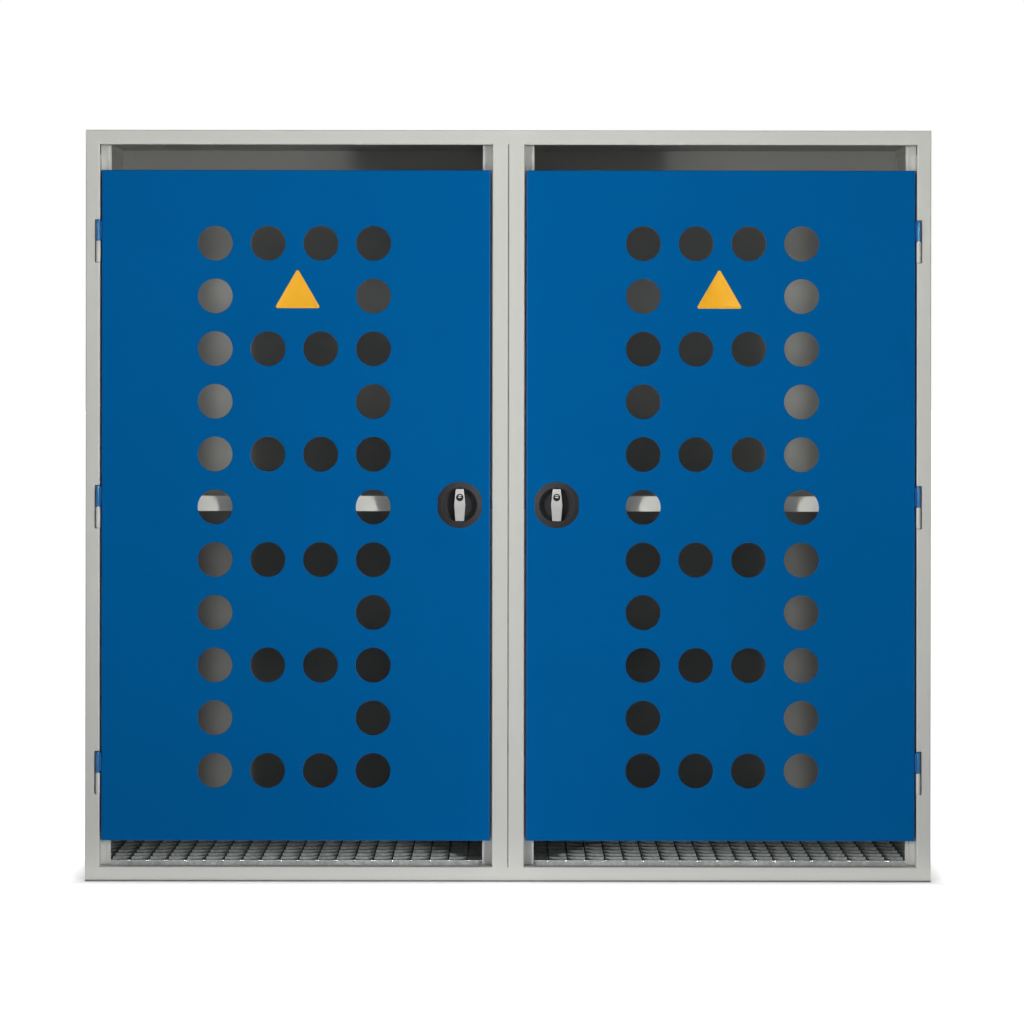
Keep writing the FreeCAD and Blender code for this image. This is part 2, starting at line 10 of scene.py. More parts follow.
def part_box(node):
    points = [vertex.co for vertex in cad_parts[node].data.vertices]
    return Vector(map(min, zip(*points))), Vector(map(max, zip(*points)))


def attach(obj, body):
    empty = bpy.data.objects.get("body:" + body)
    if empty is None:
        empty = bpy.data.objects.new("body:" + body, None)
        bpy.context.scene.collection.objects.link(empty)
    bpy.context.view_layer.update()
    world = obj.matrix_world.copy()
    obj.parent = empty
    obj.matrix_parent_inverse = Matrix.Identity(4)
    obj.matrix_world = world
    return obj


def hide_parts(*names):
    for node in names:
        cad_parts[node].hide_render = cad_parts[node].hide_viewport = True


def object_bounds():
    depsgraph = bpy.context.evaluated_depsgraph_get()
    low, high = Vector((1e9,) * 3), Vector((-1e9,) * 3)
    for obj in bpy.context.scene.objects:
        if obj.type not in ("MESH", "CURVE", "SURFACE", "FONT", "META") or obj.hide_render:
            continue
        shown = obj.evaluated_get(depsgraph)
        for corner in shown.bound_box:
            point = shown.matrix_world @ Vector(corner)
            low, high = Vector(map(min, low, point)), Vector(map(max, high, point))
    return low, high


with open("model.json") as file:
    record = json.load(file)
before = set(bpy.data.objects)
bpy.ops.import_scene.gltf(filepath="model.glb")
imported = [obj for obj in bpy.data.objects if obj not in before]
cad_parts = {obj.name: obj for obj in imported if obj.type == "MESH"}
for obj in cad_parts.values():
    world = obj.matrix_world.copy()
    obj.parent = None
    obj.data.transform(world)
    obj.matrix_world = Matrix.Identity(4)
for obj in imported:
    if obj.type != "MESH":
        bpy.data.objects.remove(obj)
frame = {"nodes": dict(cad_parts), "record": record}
cad_low, cad_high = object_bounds()
nodes = frame["nodes"]
HANDS = {"left": -1, "right": 1}

# Metres. The doors face -Y, and depths run back from the front face of the frame.
MM = 0.001
FRONT_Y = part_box("top_rail")[0].y
ACROSS = (1, 0, 0)
INWARD = (0, 1, 0)
UP = (0, 0, 1)


def millimetres(*pairs):
    """Pairs of metres from pairs of millimetres."""
    return [(first * MM, second * MM) for first, second in pairs]


# Camera
IMAGE_SIZE = 1024
METRES_PER_PIXEL = 1.8965 * MM
SEAM_PIXEL = 508.4
FLOOR_PIXEL = 881.5
CAMERA_DISTANCE = 5.4
CAMERA_SHIFT = 0.14
CAMERA_ROLL = math.radians(0.07)
SENSOR_WIDTH = 36.0

# Lamps and surroundings. The ambient fill rises from front to back as a ray's Y goes from start to end.
SIDE_LAMP_PLACE = (2.5, -4.4, 1.35)
SIDE_LAMP_SIZE = (0.5, 1.6)
SIDE_LAMP_POWER = 145.0
FLAG_Y = -1.3
FLAG_WIDTH = 2.5
FLAG_HEIGHT = 3.0
TOP_LAMP_PLACE = (0.0, -2.6, 2.65)
TOP_LAMP_SIZE = (2.6, 0.35)
TOP_LAMP_POWER = 11.0
BOUNCE_PLACE = (0.0, -0.280, 0.001)
BOUNCE_SIZE = (1.75, 0.05)
BOUNCE_POWER = 0.19
AIM = (0.0, -0.25, 0.95)
FRONT_AMBIENT = 0.01
BACK_AMBIENT = 0.60
AMBIENT_START = -0.1
AMBIENT_END = 0.5

# Floor
FLOOR_REACH = 60.0
FLOOR_GREY = (0.82, 0.82, 0.82)
FLOOR_ROUGHNESS = 0.9
FLOOR_SPECULAR = 0.1
FLOOR_GLOW_NEAR = 0.42
FLOOR_GLOW_REACH = 0.05

# Front frame
RAIL_FACE = 27.5 * MM
UPRIGHT_FACE = 27 * MM
POST_FACE = 30 * MM
SEAM = 1 * MM
FOLD_RADIUS = 2.5 * MM
GROUND_WELD_INSET = 0.6 * FOLD_RADIUS
# The cavity is a black card: a painted shadow in the relief slot at the top of an upright.
CAVITY_GAP = 0.3 * MM
CAVITY_THICK = 0.8 * MM
CAVITY_FRONT = 2 * MM
CAVITY_BACK = 26 * MM
CAVITY_HEIGHT = 22 * MM

# Carcass sheets
FLAT_SHEETS = ["back_panel", "roof", "centre_wall", "left_side_panel", "right_side_panel"]
REAR_CORNERS = ["left_rear_corner", "right_rear_corner"]
SHEET_JOIN = 0.01 * MM
SHEET_EDGE = 0.3 * MM
INSIDE_MIDDLE = (0.0, 0.0, 0.7)
SHELF_Z = 715 * MM
SHELF_BLEND = 20 * MM

# Doors. A face lies on a rounded upright edge if the X of its normal is between least and most.
SHEET = 1.5 * MM
DOOR_THICK = 25 * MM
DOOR_LIP = 12 * MM
DOOR_EDGE_RADIUS = 3 * MM
DOOR_EDGE_SEGMENTS = 6
ROUND_PROFILE = 0.5
EDGE_NORMAL_LEAST = 0.05
EDGE_NORMAL_MOST = 0.995
HOLE_RADIUS = 33.0 * MM
HOLE_PITCH = 100 * MM
HOLE_ROWS = 11
HOLE_COLUMNS = 4
HOLE_FIRST_X = 256 * MM
HOLE_FIRST_Z = 210 * MM
HOLE_SEGMENTS = 72
HOLE_EDGE = 0.65 * MM
DRILL_DEPTH = 3 * SHEET

# Hinges
HINGE_X = 777.8 * MM
HINGE_PROUD = 2 * MM
KNUCKLE_RADIUS = 4.25 * MM
KNUCKLE_ROUND = 0.9 * MM
KNUCKLE_ROUND_STEPS = 4
KNUCKLE_SEGMENTS = 40
LEAF_INSET = 2 * MM
LEAF_FRONT = 0.5 * MM
LEAF_DEPTH = 20 * MM
LEAF_THICK = 2.5 * MM

# Handle dishes. The profile is radius and depth, from the bowl's floor round the rim to the back.
LOCK_X = 92 * MM
LOCK_Z = 714 * MM
LOCK_HOLE_RADIUS = 34.4 * MM
DISH_FLAT = 42 * MM
DISH_SEGMENTS = 96
DISH_PROFILE = millimetres(
    (5.9, 16.0), (22.0, 16.0), (24.4, 15.4), (26.0, 13.9), (31.6, 4.0), (32.3, 0.0), (32.5, -1.6),
    (32.7, -2.4), (33.1, -2.9), (33.7, -3.0), (34.6, -2.85), (42.4, -0.5), (43.4, -0.25), (44.0, -0.1),
    (44.0, 0.0), (34.0, 0.0), (34.0, 22.0), (5.9, 22.0))
RIM_RADIUS = 44 * MM
RIM_INNER = 33.4 * MM

# Levers. The outline is across and up from the spindle, and the crest runs level across the front.
LEVER_OUTLINE = millimetres(
    (-7.7, 30.5), (7.7, 30.5), (10.8, 0.0), (8.3, -30.5), (-8.3, -30.5), (-10.8, 0.0))
LEVER_HALF_LENGTH = 30.5 * MM
LEVER_CORNER = 1.6 * MM
LEVER_CREST_DEPTH = -6.5 * MM
LEVER_END_DEPTH = -4.5 * MM
LEVER_BACK = 4.0 * MM
LEVER_CREST_REACH = 1.7 * MM
LEVER_EDGE = 0.9 * MM
BORE_PLAY = 0.15 * MM
BORE_FRONT = -12 * MM
BORE_BACK = 2.5 * MM

# Key cylinders. The profiles are radius and depth behind the front of the plug.
KEY_RISE = 14.3 * MM
KEY_RADIUS = 6.5 * MM
KEY_SEGMENTS = 56
KEY_WELL = 1.6 * MM
KEY_RIM_PROFILE = [(0, KEY_WELL), (5.0 * MM, KEY_WELL)]
KEY_RIM_PROFILE += millimetres((5.2, 0.6), (5.5, 0.3), (6.1, 0.3)) + [(KEY_RADIUS, 0.6 * MM)]
KEY_FACE_PROFILE = millimetres((0, 0), (1.0, 0.1), (1.8, 0.35), (2.4, 0.75), (2.8, 1.25))
KEY_FACE_PROFILE += [(2.9 * MM, KEY_WELL), (0, KEY_WELL)]
KEY_FACE_RISE = 1.9 * MM
KEY_FACE_STRETCH = 1.5
KEY_SLOT_LENGTH = 11 * MM
KEY_SLOT_WIDTH = 1.8 * MM
KEY_SLOT_SPARE = 1 * MM

# Floor gratings. The taper of a weld is shares of its radius and of its half length, and the stride
# through the half lengths makes neighbours uneven.
GRATING_BAR = 2 * MM
GRATING_SPACES = 22
GRATING_CROSS_SPACES = 12
CROSS_BAR_HEIGHT = 5.5 * MM
WELD_PROUD = 1.2 * MM
WELD_RADIUS = 1.7 * MM
WELD_HALF_LENGTHS = (6.0 * MM, 3.5 * MM, 5.0 * MM, 3.0 * MM, 4.2 * MM)
WELD_STRIDE = 3
WELD_TAPER = ((0, -1.0), (0.6, -0.85), (1.0, -0.4))
WELD_SEGMENTS = 12
SEAM_BEAD_RADIUS = 0.8 * MM

# Door plates. A ring is a share of the outline and a depth.
PLATE_X = 400 * MM
PLATE_FOOT_Z = 1087 * MM
PLATE_APEX_Z = 1162 * MM
PLATE_HALF_WIDTH = 43.5 * MM
PLATE_CORNER = 3 * MM
PLATE_RINGS = ((1.0, 0), (1.0, -0.6 * MM), (0.985, -0.8 * MM), (0.93, -0.8 * MM), (0.915, -0.55 * MM))

# Colours, and painted light and shade that lighten or darken a colour
WHITE = (1.0, 1.0, 1.0)
DOOR_BLUE = (0.0005, 0.098, 0.310)
FRAME_GREY = (0.612, 0.610, 0.571)
# Painted light: the shelf grey is paler than the frame grey, for the light through the door holes.
SHELF_PAINTED_LIGHT_GREY = (0.83, 0.825, 0.76)
# Painted shade inside the carcass, below the shelf.
LOWER_INSIDE_PAINTED_SHADE = (0.66, 0.66, 0.66)
# Painted shadow along the foot, where the frame stands on the floor.
FOOT_PAINTED_SHADE = (0.40, 0.40, 0.39)
FOOT_SHADE_LOW = 2.0 * MM
FOOT_SHADE_HIGH = 3.2 * MM
# Painted light and shade on the dish rims, by height and by reach from the lock edge.
RIM_RISE_PAINTED_LIGHT = ((0.75, 0.75, 0.76), (1.22, 1.22, 1.22))
RIM_REACH_PAINTED_LIGHT = ((1.22, 1.22, 1.22), (0.62, 0.62, 0.64))
# Painted shade on the levers, darkest low down and fading out towards their upper ends.
LEVER_PAINTED_SHADE = (0.72, 0.72, 0.72)
LEVER_PAINTED_SHADE_BELOW = 8 * MM
LEVER_PAINTED_SHADE_ABOVE = 30 * MM

# Powder coat. A noise is features a metre, detail and, where it isn't the usual one, roughness.
# Most of its values lie between low and high.
NOISE_LOW = 0.3
NOISE_HIGH = 0.7
TONE_DRIFT = (2.2, 4.0, 0.55)
SPECK_NOISE = (900.0, 1.0)
SPECK_LOW = 0.35
SPECK_HIGH = 0.65
SPECK_GREY = (0.985, 0.985, 0.985)
SPECK_SPREAD = 0.015
GLOSS_DRIFT = (9.0, 5.0, 0.6)
GLOSS_SPREAD = 0.06
ORANGE_PEEL = (420.0, 2.0, 0.4)
ORANGE_PEEL_HEIGHT = 0.035 * MM
FINE_GRAIN = (1900.0, 1.0)
FINE_GRAIN_HEIGHT = 0.006 * MM
GREY_ROUGHNESS = 0.46
GREY_SPREAD = 0.018
BLUE_SPREAD = 0.035


# Node helpers


def feed(tree, target, value):
    """Gives a node's input a plain number, or a link from another node's output."""
    if isinstance(value, (int, float)):
        target.default_value = value
    else:
        tree.links.new(value, target)


def calculated(tree, operation, *values):
    """Output of a Math node."""
    node = tree.nodes.new("ShaderNodeMath")
    node.operation = operation
    for target, value in zip(node.inputs, values):
        feed(tree, target, value)
    return node.outputs[0]


def mapped(tree, value, start, end, low, high):
    """Output of a Map Range node, which takes a value from one range to another."""
    node = tree.nodes.new("ShaderNodeMapRange")
    settings = {"Value": value, "From Min": start, "From Max": end, "To Min": low, "To Max": high}
    for key, setting in settings.items():
        feed(tree, node.inputs[key], setting)
    return node.outputs["Result"]


def coordinates(tree, kind):
    """Outputs X, Y and Z of a kind of texture coordinate."""
    split = tree.nodes.new("ShaderNodeSeparateXYZ")
    tree.links.new(tree.nodes.new("ShaderNodeTexCoord").outputs[kind], split.inputs["Vector"])
    return split.outputs


class Paint:
    """A node material under construction: its principled shader and the helpers that feed it."""

    def __init__(self, name, colour, roughness, metallic=0.0, specular=0.5):
        self.material = bpy.data.materials.new(name)
        self.material.use_nodes = True
        self.tree = self.material.node_tree
        self.shader = self.tree.nodes["Principled BSDF"]
        self.shader.inputs["Base Color"].default_value = (*colour, 1)
        self.shader.inputs["Roughness"].default_value = roughness
        self.shader.inputs["Metallic"].default_value = metallic
        self.shader.inputs["Specular IOR Level"].default_value = specular
        self.place = self.add("ShaderNodeTexCoord").outputs["Object"]
        self.relief = None
        self.tone = None

    def add(self, kind, **settings):
        """New node with its settings and, for names that are inputs, its input values."""
        node = self.tree.nodes.new(kind)
        for key, value in settings.items():
            if key in node.inputs:
                node.inputs[key].default_value = value
            else:
                setattr(node, key, value)
        return node

    def link(self, output, target):
        self.tree.links.new(output, target)

    def noise(self, scale, detail, roughness=0.5):
        """Noise of so many features a metre, as a value from 0 to 1."""
        node = self.add("ShaderNodeTexNoise", Scale=scale, Detail=detail, Roughness=roughness)
        self.link(self.place, node.inputs["Vector"])
        return node.outputs["Fac"]

    def ramp(self, value, stops):
        """Colour ramp over a value, from pairs of place and colour."""
        node = self.add("ShaderNodeValToRGB")
        elements = node.color_ramp.elements
        while len(elements) < len(stops):
            elements.new(0.5)
        for element, (place, colour) in zip(elements, stops):
            element.position = place
            element.color = (*colour, 1)
        self.link(value, node.inputs["Fac"])
        return node.outputs["Color"]

    def drift(self, noise, tones, start=NOISE_LOW, end=NOISE_HIGH):
        """Colour that goes from one tone to another with a noise."""
        return self.ramp(self.noise(*noise), [(start, tones[0]), (end, tones[1])])

    def shade(self, value, low, high, tones):
        """Colour that goes from one tone to another as a value goes from low to high."""
        share = mapped(self.tree, value, low, high, 0.0, 1.0)
        return self.ramp(share, [(0.0, tones[0]), (1.0, tones[1])])

    def mix(self, first, second, factor=1.0, blend="MULTIPLY"):
        """Colour of a first one mixed with a second."""
        node = self.add("ShaderNodeMix", data_type="RGBA", blend_type=blend)
        feed(self.tree, node.inputs["Factor"], factor)
        self.link(first, node.inputs["A"])
        self.link(second, node.inputs["B"])
        return node.outputs["Result"]

    def colour(self, output):
        """Base colour, in place of the one before it."""
        self.tone = output
        self.link(output, self.shader.inputs["Base Color"])

    def tint(self, shade):
        """Base colour multiplied by a shade."""
        self.colour(self.mix(self.tone, shade))

    def rough(self, noise, low, high):
        """Roughness that goes from low to high with a noise."""
        drift = mapped(self.tree, self.noise(*noise), NOISE_LOW, NOISE_HIGH, low, high)
        self.link(drift, self.shader.inputs["Roughness"])

    def bump(self, noise, height):
        """Relief of a real height in metres, added over any relief before it."""
        node = self.add("ShaderNodeBump", Strength=1.0, Distance=height)
        self.link(self.noise(*noise), node.inputs["Height"])
        if self.relief is not None:
            self.link(self.relief, node.inputs["Normal"])
        self.relief = node.outputs["Normal"]
        self.link(self.relief, self.shader.inputs["Normal"])


# Materials


def shades(colour, amount):
    """Darker and lighter version of a colour."""
    return tuple(c * (1 - amount) for c in colour), tuple(min(1.0, c * (1 + amount)) for c in colour)


def powder_coat(name, colour, roughness, spread, specular=0.4):
    """Baked powder paint: slight drift of tone, orange peel and fine grain."""
    paint = Paint(name, colour, roughness, specular=specular)
    paint.colour(paint.drift(TONE_DRIFT, shades(colour, spread)))
    paint.tint(paint.drift(SPECK_NOISE, shades(SPECK_GREY, SPECK_SPREAD), SPECK_LOW, SPECK_HIGH))
    paint.rough(GLOSS_DRIFT, roughness - GLOSS_SPREAD, roughness + GLOSS_SPREAD)
    paint.bump(ORANGE_PEEL, ORANGE_PEEL_HEIGHT)
    paint.bump(FINE_GRAIN, FINE_GRAIN_HEIGHT)
    return paint


def frame_coat(name):
    """Light grey powder coat, with painted shade darkening the edge that stands on the floor."""
    paint = powder_coat(name, FRAME_GREY, GREY_ROUGHNESS, GREY_SPREAD)
    height = coordinates(paint.tree, "Object")["Z"]
    # Painted shade along the foot.
    paint.tint(paint.shade(height, FOOT_SHADE_LOW, FOOT_SHADE_HIGH, (FOOT_PAINTED_SHADE, WHITE)))
    return paint


def frame_paint():
    """Coat of the frame."""
    return frame_coat("frame_paint_coat").material


def inside_shaded_paint():
    """Frame grey of the carcass sheets, with painted shade on the faces inside that lie below the shelf."""
    paint = frame_coat("lined_paint_coat")
    outward = paint.add("ShaderNodeVectorMath", operation="SUBTRACT")
    paint.link(paint.place, outward.inputs[0])
    outward.inputs[1].default_value = INSIDE_MIDDLE
    facing = paint.add("ShaderNodeVectorMath", operation="DOT_PRODUCT")
    paint.link(paint.add("ShaderNodeTexCoord").outputs["Normal"], facing.inputs[0])
    paint.link(outward.outputs["Vector"], facing.inputs[1])
    inside = mapped(paint.tree, facing.outputs["Value"], -MM, MM, 1.0, 0.0)
    height = coordinates(paint.tree, "Object")["Z"]
    # Painted shade on the inside faces, below the shelf.
    painted_storey_shade = paint.shade(height, SHELF_Z - SHELF_BLEND, SHELF_Z + SHELF_BLEND, (LOWER_INSIDE_PAINTED_SHADE, WHITE))
    paint.colour(paint.mix(paint.tone, paint.mix(paint.tone, painted_storey_shade), inside, "MIX"))
    return paint.material


def shelf_painted_light():
    """Paler grey of the shelf trays: painted light, for the light that falls on them through the holes."""
    return powder_coat("shelf_paint_coat", SHELF_PAINTED_LIGHT_GREY, GREY_ROUGHNESS, GREY_SPREAD).material


def door_paint():
    """Blue powder coat, with a reflection tinted by its pigment."""
    paint = powder_coat("door_paint_coat", DOOR_BLUE, roughness=0.42, spread=BLUE_SPREAD, specular=0.35)
    paint.shader.inputs["Specular Tint"].default_value = (0.0, 0.45, 0.85, 1)
    return paint.material


def knuckle_paint():
    """Glossier coat of the door's blue on its hinge knuckles, with a pale blue reflection."""
    paint = powder_coat("knuckle_paint_coat", DOOR_BLUE, roughness=0.20, spread=BLUE_SPREAD, specular=0.9)
    paint.shader.inputs["IOR"].default_value = 1.4
    paint.shader.inputs["Specular Tint"].default_value = (0.5, 0.85, 1.0, 1.0)
    return paint.material


def edge_paint():
    """The door's blue where it thins over the folded upright edges and the edges of the holes."""
    paint = powder_coat("edge_paint_coat", DOOR_BLUE, roughness=0.40, spread=BLUE_SPREAD, specular=0.16)
    return paint.material


def galvanised():
    """Hot-dip galvanised steel: spangle in many greys, dull patches and small runs."""
    paint = Paint("galvanised_zinc", (0.55, 0.58, 0.56), roughness=0.42, metallic=0.35)
    cells = paint.add("ShaderNodeTexVoronoi", Scale=160.0)
    paint.link(paint.place, cells.inputs["Vector"])
    spangle = [(0.2, (0.47, 0.50, 0.475)), (0.8, (0.62, 0.65, 0.625))]
    paint.colour(paint.ramp(cells.outputs["Color"], spangle))
    paint.tint(paint.drift((30.0, 5.0, 0.65), ((0.86, 0.87, 0.865), WHITE), start=0.35, end=0.6))
    paint.rough((60.0, 4.0), low=0.34, high=0.58)
    paint.bump((170.0, 3.0, 0.6), height=0.12 * MM)
    return paint.material


def finish(name, colour, roughness, mottle, tones, grain, height, metallic=0.0, specular=0.5):
    """Finish that goes between two tones with a mottle, and has a grain of a real height."""
    paint = Paint(name, colour, roughness, metallic, specular)
    paint.colour(paint.drift(mottle, tones))
    paint.bump(grain, height)
    return paint


def moulding(name):
    """Glass-filled black moulding with a spark-eroded grain."""
    paint = finish(name, (0.049, 0.049, 0.052), roughness=0.55, specular=0.06, mottle=(160.0, 5.0, 0.6),
                   tones=((0.0435, 0.0435, 0.0465), (0.0545, 0.0545, 0.058)),
                   grain=(2600.0, 2.0), height=0.03 * MM)
    paint.rough((300.0, 3.0), low=0.48, high=0.64)
    return paint


def black_plastic():
    """Moulding of the handle dishes."""
    return moulding("black_plastic_grain").material


def rim_painted_light():
    """Rim of a dish with painted light: paler above and towards the lock edge, darker below and outward."""
    paint = moulding("rim_plastic_grain")
    place = coordinates(paint.tree, "Object")
    away = calculated(paint.tree, "ABSOLUTE", place["X"])
    paint.tint(paint.shade(place["Z"], LOCK_Z - RIM_RADIUS, LOCK_Z + RIM_RADIUS, RIM_RISE_PAINTED_LIGHT))
    paint.tint(paint.shade(away, LOCK_X - RIM_RADIUS, LOCK_X + RIM_RADIUS, RIM_REACH_PAINTED_LIGHT))
    return paint.material


def lever_metal():
    """Satin plated die casting, with painted shade that darkens it towards its lower end."""
    paint = finish("lever_satin_plate", (0.48, 0.48, 0.47), roughness=0.45, metallic=0.4, mottle=(45.0, 4.0),
                   tones=((0.46, 0.46, 0.45), (0.50, 0.50, 0.49)), grain=(3200.0, 2.0), height=0.012 * MM)
    rise = coordinates(paint.tree, "Object")["Z"]
    low, high = LOCK_Z - LEVER_PAINTED_SHADE_BELOW, LOCK_Z + LEVER_PAINTED_SHADE_ABOVE
    # Painted shade, darker towards the lower end of the lever.
    paint.tint(paint.shade(rise, low, high, (LEVER_PAINTED_SHADE, WHITE)))
    paint.rough((500.0, 3.0), low=0.40, high=0.52)
    return paint.material


def zinc_hardware():
    """Bright zinc plate with a faint passivation drift."""
    paint = Paint("zinc_plate", (0.6, 0.61, 0.6), roughness=0.34, metallic=1.0)
    passivation = [(0.3, (0.55, 0.57, 0.60)), (0.55, (0.64, 0.64, 0.62)), (0.75, (0.66, 0.62, 0.52))]
    paint.colour(paint.ramp(paint.noise(70.0, 4.0), passivation))
    paint.rough((220.0, 4.0), low=0.26, high=0.44)
    paint.bump((1200.0, 2.0), height=0.012 * MM)
    return paint.material


def key_and_shadow_black():
    """Black of the key cylinders, and of the painted-shadow cards behind the relief slots."""
    return finish("key_and_painted_shadow_black", (0.014, 0.014, 0.014), roughness=0.45, specular=0.15,
                  mottle=(400.0, 3.0), tones=((0.011, 0.011, 0.011), (0.018, 0.018, 0.018)),
                  grain=(2500.0, 2.0), height=0.01 * MM).material


def key_face_metal():
    """Dull nickel of the key cylinder's face."""
    return finish("key_face_nickel", (0.70, 0.69, 0.67), roughness=0.38, metallic=0.5,
                  mottle=(500.0, 3.0), tones=((0.64, 0.63, 0.61), (0.76, 0.75, 0.73)),
                  grain=(2500.0, 2.0), height=0.01 * MM).material


def strike_painted_shade():
    """Dark bluish steel of the lock strikes: painted shade, as dark and blue as the door gap they sit in."""
    return finish("strike_painted_shade_steel", (0.075, 0.10, 0.125), roughness=0.45, metallic=0.3,
                  mottle=(120.0, 3.0), tones=((0.068, 0.09, 0.115), (0.082, 0.11, 0.135)),
                  grain=(1500.0, 2.0), height=0.012 * MM).material


def bearing_bar_painted_shade():
    """Galvanising of the grating's bearing bars, painted dark as the shade on their sides."""
    return finish("bearing_bar_painted_shade", (0.05, 0.053, 0.05), roughness=0.6, metallic=0.3,
                  mottle=(90.0, 4.0, 0.6), tones=((0.04, 0.043, 0.04), (0.06, 0.063, 0.06)),
                  grain=(170.0, 3.0, 0.6), height=0.1 * MM).material


def weld_zinc():
    """Fresh bright zinc on the grating's weld beads."""
    return finish("weld_zinc", (0.78, 0.79, 0.79), roughness=0.26, metallic=0.9,
                  mottle=(200.0, 3.0), tones=((0.72, 0.73, 0.73), (0.84, 0.85, 0.85)),
                  grain=(600.0, 2.0), height=0.08 * MM).material


def amber_enamel():
    """Plain amber enamel of the door plates."""
    paint = finish("amber_enamel", (0.95, 0.46, 0.012), roughness=0.38, specular=0.35,
                   mottle=(25.0, 4.0), tones=((0.92, 0.44, 0.011), (0.98, 0.48, 0.014)),
                   grain=(900.0, 2.0), height=0.01 * MM)
    paint.rough((120.0, 4.0), low=0.32, high=0.46)
    return paint.material


MATERIALS = {
    "frame_paint": frame_paint(),
    "door_paint": door_paint(),
    "galvanised": galvanised(),
    "black_plastic": black_plastic(),
    "lever_metal": lever_metal(),
    "zinc_hardware": zinc_hardware(),
}
INSIDE_SHADED_GREY = inside_shaded_paint()
SHELF_LIT_GREY = shelf_painted_light()
KNUCKLE_BLUE = knuckle_paint()
EDGE_BLUE = edge_paint()
RIM_PAINTED_LIGHT_BLACK = rim_painted_light()
KEY_AND_SHADOW_BLACK = key_and_shadow_black()
KEY_FACE = key_face_metal()
STRIKE_PAINTED_SHADE_STEEL = strike_painted_shade()
BEARING_BAR_SHADE_ZINC = bearing_bar_painted_shade()
WELD_ZINC = weld_zinc()
AMBER = amber_enamel()
SECOND_MATERIAL = 1


# Mesh helpers

BOX_FACES = ((0, 1, 3, 2), (4, 6, 7, 5), (0, 4, 5, 1), (2, 3, 7, 6), (0, 2, 6, 4), (1, 5, 7, 3))


def placed(name, data):
    """New object in the scene for a mesh, lamp or camera."""
    obj = bpy.data.objects.new(name, data)
    bpy.context.scene.collection.objects.link(obj)
    return obj


def mesh_from(bm, name):
    """Mesh of a bmesh, with its normals outward; the bmesh is freed."""
    bmesh.ops.recalc_face_normals(bm, faces=bm.faces)
    mesh = bpy.data.meshes.new(name)
    bm.to_mesh(mesh)
    bm.free()
    return mesh


def piece(name, shape, body, slot, replaced=(), material=None, smooth_angle=35):
    """Object for a mesh or bmesh: it rides on a body, has a slot's finish and stands for replaced nodes."""
    mesh = mesh_from(shape, name) if isinstance(shape, bmesh.types.BMesh) else shape
    mesh.polygons.foreach_set("use_smooth", [True] * len(mesh.polygons))
    mesh.set_sharp_from_angle(angle=math.radians(smooth_angle))
    mesh.materials.append(material or MATERIALS[slot])
    obj = placed(name, mesh)
    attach(obj, body)
    if replaced:
        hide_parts(*replaced)
    return obj


def box(bm, low, high):
    """Adds a closed box between two corners and returns its faces."""
    corners = [bm.verts.new(corner) for corner in product(*zip(low, high))]
    return [bm.faces.new([corners[i] for i in face]) for face in BOX_FACES]


def turned(bm, profile, centre, axis, segments):
    """Adds a closed solid of revolution from (radius, along) points; a radius of 0 closes to a point."""
    axis = Vector(axis)
    side = axis.orthogonal().normalized()
    other = axis.cross(side)
    rings = []
    for radius, along in profile:
        middle = Vector(centre) + axis * along
        if radius == 0:
            rings.append([bm.verts.new(middle)])
            continue
        ring = []
        for i in range(segments):
            angle = 2 * math.pi * i / segments
            ring.append(bm.verts.new(middle + (side * math.cos(angle) + other * math.sin(angle)) * radius))
        rings.append(ring)
    is_tube = profile[0][0] != 0 and profile[-1][0] != 0
    for low, high in zip(rings, rings[1:] + (rings[:1] if is_tube else [])):
        for i in range(segments):
            j = (i + 1) % segments
            if len(low) == 1:
                bm.faces.new((low[0], high[j], high[i]))
            elif len(high) == 1:
                bm.faces.new((low[i], low[j], high[0]))
            else:
                bm.faces.new((low[i], low[j], high[j], high[i]))


def lofted(bm, loops):
    """Adds a closed solid through loops of equally many points, and returns its rings of vertices."""
    rings = [[bm.verts.new(point) for point in loop] for loop in loops]
    count = len(rings[0])
    for ring, following in zip(rings, rings[1:]):
        for i in range(count):
            j = (i + 1) % count
            bm.faces.new((ring[i], ring[j], following[j], following[i]))
    bm.faces.new(rings[0])
    bm.faces.new(rings[-1])
    return rings


def rounded_outline(points, radius, steps=5):
    """Polygon with its corners rounded by arcs, as 2-D vectors."""
    outline = []
    count = len(points)
    for i in range(count):
        corner = Vector(points[i])
        before = (Vector(points[i - 1]) - corner).normalized()
        after = (Vector(points[(i + 1) % count]) - corner).normalized()
        half = before.angle(after) / 2
        reach = radius / math.tan(half)
        centre = corner + (before + after).normalized() * (radius / math.sin(half))
        start = corner + before * reach - centre
        turn = start.angle_signed(corner + after * reach - centre)
        for k in range(steps + 1):
            outline.append(centre + Matrix.Rotation(-turn * k / steps, 2) @ start)
    return outline


def scratch_object(bm, name):
    """Object for a boolean, to be deleted by it."""
    return placed(name, mesh_from(bm, name))


def cut(solid, cutters):
    """Mesh of a solid's object less each cutter in turn, without materials; all the objects are deleted."""
    for cutter in cutters:
        modifier = solid.modifiers.new("cut", "BOOLEAN")
        modifier.operation = "DIFFERENCE"
        modifier.solver = "EXACT"
        modifier.object = cutter
    bpy.context.view_layer.update()
    graph = bpy.context.evaluated_depsgraph_get()
    mesh = bpy.data.meshes.new_from_object(solid.evaluated_get(graph))
    mesh.materials.clear()
    for obj in (solid, *cutters):
        bpy.data.objects.remove(obj)
    return mesh


